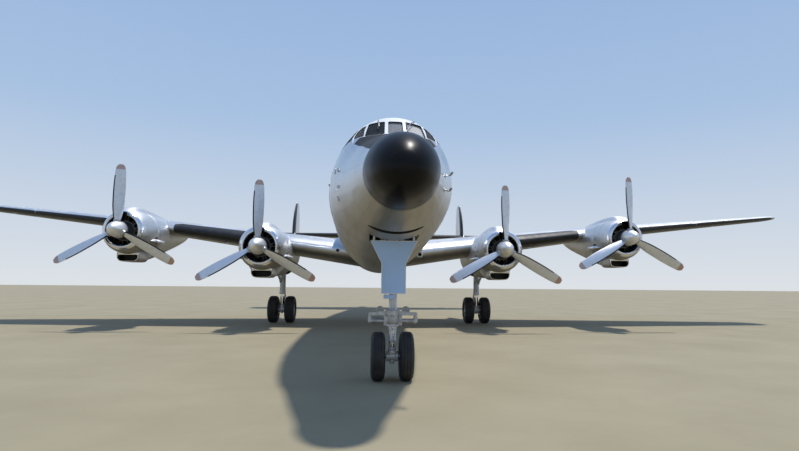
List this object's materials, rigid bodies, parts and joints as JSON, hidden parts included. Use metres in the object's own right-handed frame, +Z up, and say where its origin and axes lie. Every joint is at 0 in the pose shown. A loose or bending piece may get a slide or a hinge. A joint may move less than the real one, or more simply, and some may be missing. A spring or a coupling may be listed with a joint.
{
  "type": "military transport plane",
  "caption": "Propeller transport plane with bent round fuselage, radar nose, tapered wings, oval fins and twin-wheel nose-wheel gear.",
  "frame": {"origin": "on the floor under the middle of the plane's length and span", "axes": "+X to the plane's left wing tip, -Y forward to the nose, +Z up"},
  "size_m": [37.49, 35.41, 7.54],
  "materials": {
    "skin": "bare weathered aluminium sheet",
    "radome": "black satin gloss",
    "cockpit_glass": "clear, dark inside",
    "engine": "dark oily metal",
    "propeller": "grey painted blades with red-brown tips",
    "gear_leg": "silver paint with bright pistons",
    "leg_door": "pale blue-grey paint",
    "hub": "dull cast aluminium",
    "tyre": "black rubber"
  },
  "bodies": {
    "airframe": {"fuselage": "skin", "radome": "radome", "cockpit_glass": "cockpit_glass", "wing_left": "skin", "wing_right": "skin", "flap_left_inner": "skin", "flap_left_outer": "skin", "flap_right_inner": "skin", "flap_right_outer": "skin", "nacelle_left_inner": "skin", "nacelle_left_outer": "skin", "nacelle_right_inner": "skin", "nacelle_right_outer": "skin", "cowl_left_inner": "skin", "cowl_left_outer": "skin", "cowl_right_inner": "skin", "cowl_right_outer": "skin", "engine_left_inner": "engine", "engine_left_outer": "engine", "engine_right_inner": "engine", "engine_right_outer": "engine", "main_leg_left": "gear_leg", "main_leg_right": "gear_leg", "main_door_left_inner": "skin", "main_door_left_outer": "skin", "main_door_right_inner": "skin", "main_door_right_outer": "skin", "nose_leg": "gear_leg", "nose_leg_door": "leg_door", "nose_door_left": "skin", "nose_door_right": "skin", "tailplane_left": "skin", "tailplane_right": "skin", "fin_outer_left": "skin", "fin_outer_right": "skin", "fin_centre": "skin"},
    "propeller_left_inner": {"propeller_left_inner": "propeller"},
    "propeller_left_outer": {"propeller_left_outer": "propeller"},
    "propeller_right_inner": {"propeller_right_inner": "propeller"},
    "propeller_right_outer": {"propeller_right_outer": "propeller"},
    "main_wheels_left": {"main_hubs_left": "hub", "main_tyre_left_inner": "tyre", "main_tyre_left_outer": "tyre"},
    "main_wheels_right": {"main_hubs_right": "hub", "main_tyre_right_inner": "tyre", "main_tyre_right_outer": "tyre"},
    "nose_fork": {"nose_steering": "gear_leg"},
    "nose_wheels": {"nose_hubs": "hub", "nose_tyre_left": "tyre", "nose_tyre_right": "tyre"},
    "aileron_left": {"aileron_left": "skin"},
    "aileron_right": {"aileron_right": "skin"},
    "elevator_left": {"elevator_left": "skin"},
    "elevator_right": {"elevator_right": "skin"},
    "rudder_centre": {"rudder_centre": "skin"},
    "rudder_left": {"rudder_outer_left": "skin"},
    "rudder_right": {"rudder_outer_right": "skin"}
  },
  "joints": [
    {"name": "propeller_left_inner_spin", "type": "hinge", "parent": "airframe", "child": "propeller_left_inner", "pos_m": [4.367, -5.115, 2.968], "axis": [0, 1, 0], "continuous": true},
    {"name": "propeller_left_outer_spin", "type": "hinge", "parent": "airframe", "child": "propeller_left_outer", "pos_m": [9.311, -4.545, 3.513], "axis": [0, 1, 0], "continuous": true},
    {"name": "propeller_right_inner_spin", "type": "hinge", "parent": "airframe", "child": "propeller_right_inner", "pos_m": [-4.367, -5.115, 2.968], "axis": [0, 1, 0], "continuous": true},
    {"name": "propeller_right_outer_spin", "type": "hinge", "parent": "airframe", "child": "propeller_right_outer", "pos_m": [-9.311, -4.545, 3.513], "axis": [0, 1, 0], "continuous": true},
    {"name": "main_wheels_left_spin", "type": "hinge", "parent": "airframe", "child": "main_wheels_left", "pos_m": [4.267, -0.095, 0.56792], "axis": [1, 0, 0], "continuous": true},
    {"name": "main_wheels_right_spin", "type": "hinge", "parent": "airframe", "child": "main_wheels_right", "pos_m": [-4.267, -0.095, 0.56792], "axis": [1, 0, 0], "continuous": true},
    {"name": "nose_steer", "type": "hinge", "parent": "airframe", "child": "nose_fork", "pos_m": [0, -14.165, 0.9], "axis": [0, 0, 1], "range_deg": [-60, 60]},
    {"name": "nose_wheels_spin", "type": "hinge", "parent": "nose_fork", "child": "nose_wheels", "pos_m": [0, -14.165, 0.41878], "axis": [1, 0, 0], "continuous": true},
    {"name": "aileron_left_hinge", "type": "hinge", "parent": "airframe", "child": "aileron_left", "pos_m": [11.3, 1.3513, 4.23107], "axis": [0.9937, -0.0442, 0.1033], "range_deg": [-20, 20]},
    {"name": "aileron_right_hinge", "type": "hinge", "parent": "airframe", "child": "aileron_right", "pos_m": [-11.3, 1.3513, 4.23107], "axis": [0.9937, 0.0442, -0.1033], "range_deg": [-20, 20]},
    {"name": "elevator_left_hinge", "type": "hinge", "parent": "airframe", "child": "elevator_left", "pos_m": [0.76, 14.995, 4.99032], "axis": [0.9998, 0, 0.0184], "range_deg": [-20, 30]},
    {"name": "elevator_right_hinge", "type": "hinge", "parent": "airframe", "child": "elevator_right", "pos_m": [-0.76, 14.995, 4.99032], "axis": [0.9998, 0, -0.0184], "range_deg": [-20, 30]},
    {"name": "rudder_centre_hinge", "type": "hinge", "parent": "airframe", "child": "rudder_centre", "pos_m": [0, 14.995, 5.62], "axis": [0, 0, 1], "range_deg": [-25, 25]},
    {"name": "rudder_left_hinge", "type": "hinge", "parent": "airframe", "child": "rudder_left", "pos_m": [5.9, 14.995, 4.18], "axis": [0, 0, 1], "range_deg": [-25, 25]},
    {"name": "rudder_right_hinge", "type": "hinge", "parent": "airframe", "child": "rudder_right", "pos_m": [-5.9, 14.995, 4.18], "axis": [0, 0, 1], "range_deg": [-25, 25]}
  ],
  "couplings": [
    {"joint": "aileron_right_hinge", "follows": "aileron_left_hinge", "ratio": -1},
    {"joint": "elevator_right_hinge", "follows": "elevator_left_hinge", "ratio": 1},
    {"joint": "rudder_left_hinge", "follows": "rudder_centre_hinge", "ratio": 1},
    {"joint": "rudder_right_hinge", "follows": "rudder_centre_hinge", "ratio": 1}
  ]
}
